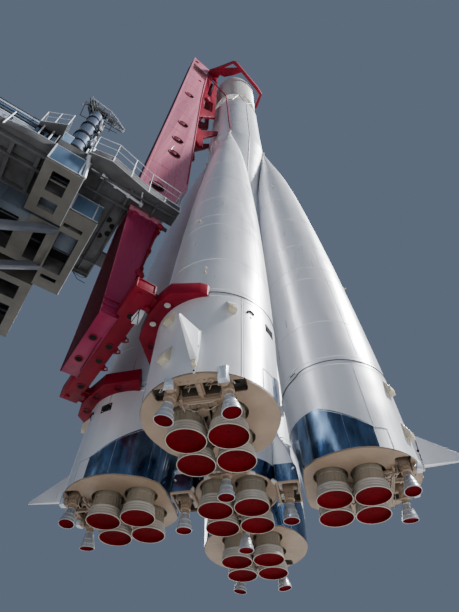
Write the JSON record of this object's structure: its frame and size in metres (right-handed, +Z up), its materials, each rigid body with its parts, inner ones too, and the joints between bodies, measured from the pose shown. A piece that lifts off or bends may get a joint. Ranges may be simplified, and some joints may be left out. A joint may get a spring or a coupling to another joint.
{
  "type": "space rocket with strap-on boosters on its erector stand, 1:2 scale model",
  "caption": "Tall white space rocket with a ring of strap-on boosters, clustered engine bells and swinging steering chambers, held off the ground by a red erector boom on a grey steel stand.",
  "frame": {"origin": "on the rocket's upright axis, at the underside of the stand's base slab", "axes": "+Z up along the rocket; the boosters point to -Y (front), +X (right), +Y (back) and -X (left); the erector boom stands towards -X and -Y"},
  "size_m": [8.2672, 6.8884, 21.35],
  "materials": {
    "white_paint": "satin",
    "khaki_metal": "satin",
    "ribbed_metal": "satin",
    "red_paint": "gloss",
    "grey_steel": "satin",
    "taupe_steel": "satin",
    "bright_steel": "satin",
    "concrete": "matte"
  },
  "bodies": {
    "rocket_and_stand": {"booster_front_tail": "white_paint", "booster_front_tank": "white_paint", "booster_front_engine": "khaki_metal", "booster_right_tail": "white_paint", "booster_right_tank": "white_paint", "booster_right_engine": "khaki_metal", "booster_back_tail": "white_paint", "booster_back_tank": "white_paint", "booster_back_engine": "khaki_metal", "booster_left_tail": "white_paint", "booster_left_tank": "white_paint", "booster_left_engine": "khaki_metal", "core_tail": "white_paint", "core_engine": "khaki_metal", "core_tank": "white_paint", "core_shoulder": "white_paint", "interstage_truss": "khaki_metal", "upper_stage": "ribbed_metal", "payload_fairing": "white_paint", "gantry_boom": "red_paint", "gantry_arm": "red_paint", "gantry_yoke": "red_paint", "gantry_clamp_front": "red_paint", "gantry_clamp_left": "red_paint", "gantry_cradle": "red_paint", "gantry_hoop_front": "red_paint", "gantry_hoop_left": "red_paint", "stand_deck": "grey_steel", "stand_frame_inner": "taupe_steel", "stand_frame_outer": "taupe_steel", "stand_frame_back": "taupe_steel", "stand_walkway": "grey_steel", "stand_leg_front": "grey_steel", "stand_leg_back": "grey_steel", "stand_slab": "concrete", "stand_jack": "bright_steel", "gantry_head": "red_paint"},
    "booster_front_vernier_a": {"booster_front_vernier_a": "khaki_metal"},
    "booster_front_vernier_b": {"booster_front_vernier_b": "khaki_metal"},
    "booster_front_rudder": {"booster_front_rudder": "white_paint"},
    "booster_right_vernier_a": {"booster_right_vernier_a": "khaki_metal"},
    "booster_right_vernier_b": {"booster_right_vernier_b": "khaki_metal"},
    "booster_right_rudder": {"booster_right_rudder": "white_paint"},
    "booster_back_vernier_a": {"booster_back_vernier_a": "khaki_metal"},
    "booster_back_vernier_b": {"booster_back_vernier_b": "khaki_metal"},
    "booster_back_rudder": {"booster_back_rudder": "white_paint"},
    "booster_left_vernier_a": {"booster_left_vernier_a": "khaki_metal"},
    "booster_left_vernier_b": {"booster_left_vernier_b": "khaki_metal"},
    "booster_left_rudder": {"booster_left_rudder": "white_paint"},
    "core_vernier_1": {"core_vernier_1": "khaki_metal"},
    "core_vernier_2": {"core_vernier_2": "khaki_metal"},
    "core_vernier_3": {"core_vernier_3": "khaki_metal"},
    "core_vernier_4": {"core_vernier_4": "khaki_metal"}
  },
  "joints": [
    {"name": "booster_front_vernier_a_swing", "type": "hinge", "parent": "rocket_and_stand", "child": "booster_front_vernier_a", "pos_m": [-0.2435, -1.827, 3.74], "axis": [0, -1, 0], "range_deg": [-45, 45]},
    {"name": "booster_front_vernier_b_swing", "type": "hinge", "parent": "rocket_and_stand", "child": "booster_front_vernier_b", "pos_m": [0.2435, -1.827, 3.74], "axis": [0, -1, 0], "range_deg": [-45, 45]},
    {"name": "booster_front_rudder_turn", "type": "hinge", "parent": "rocket_and_stand", "child": "booster_front_rudder", "pos_m": [0, -2.0775, 3.975], "axis": [0, -1, 0], "range_deg": [-20, 20]},
    {"name": "booster_right_vernier_a_swing", "type": "hinge", "parent": "rocket_and_stand", "child": "booster_right_vernier_a", "pos_m": [1.827, -0.2435, 3.74], "axis": [1, 0, 0], "range_deg": [-45, 45]},
    {"name": "booster_right_vernier_b_swing", "type": "hinge", "parent": "rocket_and_stand", "child": "booster_right_vernier_b", "pos_m": [1.827, 0.2435, 3.74], "axis": [1, 0, 0], "range_deg": [-45, 45]},
    {"name": "booster_right_rudder_turn", "type": "hinge", "parent": "rocket_and_stand", "child": "booster_right_rudder", "pos_m": [2.0775, 0, 3.975], "axis": [1, 0, 0], "range_deg": [-20, 20]},
    {"name": "booster_back_vernier_a_swing", "type": "hinge", "parent": "rocket_and_stand", "child": "booster_back_vernier_a", "pos_m": [0.2435, 1.827, 3.74], "axis": [0, 1, 0], "range_deg": [-45, 45]},
    {"name": "booster_back_vernier_b_swing", "type": "hinge", "parent": "rocket_and_stand", "child": "booster_back_vernier_b", "pos_m": [-0.2435, 1.827, 3.74], "axis": [0, 1, 0], "range_deg": [-45, 45]},
    {"name": "booster_back_rudder_turn", "type": "hinge", "parent": "rocket_and_stand", "child": "booster_back_rudder", "pos_m": [0, 2.0775, 3.975], "axis": [0, 1, 0], "range_deg": [-20, 20]},
    {"name": "booster_left_vernier_a_swing", "type": "hinge", "parent": "rocket_and_stand", "child": "booster_left_vernier_a", "pos_m": [-1.827, 0.2435, 3.74], "axis": [-1, 0, 0], "range_deg": [-45, 45]},
    {"name": "booster_left_vernier_b_swing", "type": "hinge", "parent": "rocket_and_stand", "child": "booster_left_vernier_b", "pos_m": [-1.827, -0.2435, 3.74], "axis": [-1, 0, 0], "range_deg": [-45, 45]},
    {"name": "booster_left_rudder_turn", "type": "hinge", "parent": "rocket_and_stand", "child": "booster_left_rudder", "pos_m": [-2.0775, 0, 3.975], "axis": [-1, 0, 0], "range_deg": [-20, 20]},
    {"name": "core_vernier_1_swing", "type": "hinge", "parent": "rocket_and_stand", "child": "core_vernier_1", "pos_m": [0.5855, 0, 3.71], "axis": [1, 0, 0], "range_deg": [-45, 45]},
    {"name": "core_vernier_2_swing", "type": "hinge", "parent": "rocket_and_stand", "child": "core_vernier_2", "pos_m": [0, 0.5855, 3.71], "axis": [0, 1, 0], "range_deg": [-45, 45]},
    {"name": "core_vernier_3_swing", "type": "hinge", "parent": "rocket_and_stand", "child": "core_vernier_3", "pos_m": [-0.5855, 0, 3.71], "axis": [-1, 0, 0], "range_deg": [-45, 45]},
    {"name": "core_vernier_4_swing", "type": "hinge", "parent": "rocket_and_stand", "child": "core_vernier_4", "pos_m": [0, -0.5855, 3.71], "axis": [0, -1, 0], "range_deg": [-45, 45]}
  ],
  "couplings": [
    {"joint": "booster_front_vernier_b_swing", "follows": "booster_front_vernier_a_swing", "ratio": 1},
    {"joint": "booster_right_vernier_b_swing", "follows": "booster_right_vernier_a_swing", "ratio": 1},
    {"joint": "booster_back_vernier_b_swing", "follows": "booster_back_vernier_a_swing", "ratio": 1},
    {"joint": "booster_left_vernier_b_swing", "follows": "booster_left_vernier_a_swing", "ratio": 1}
  ]
}
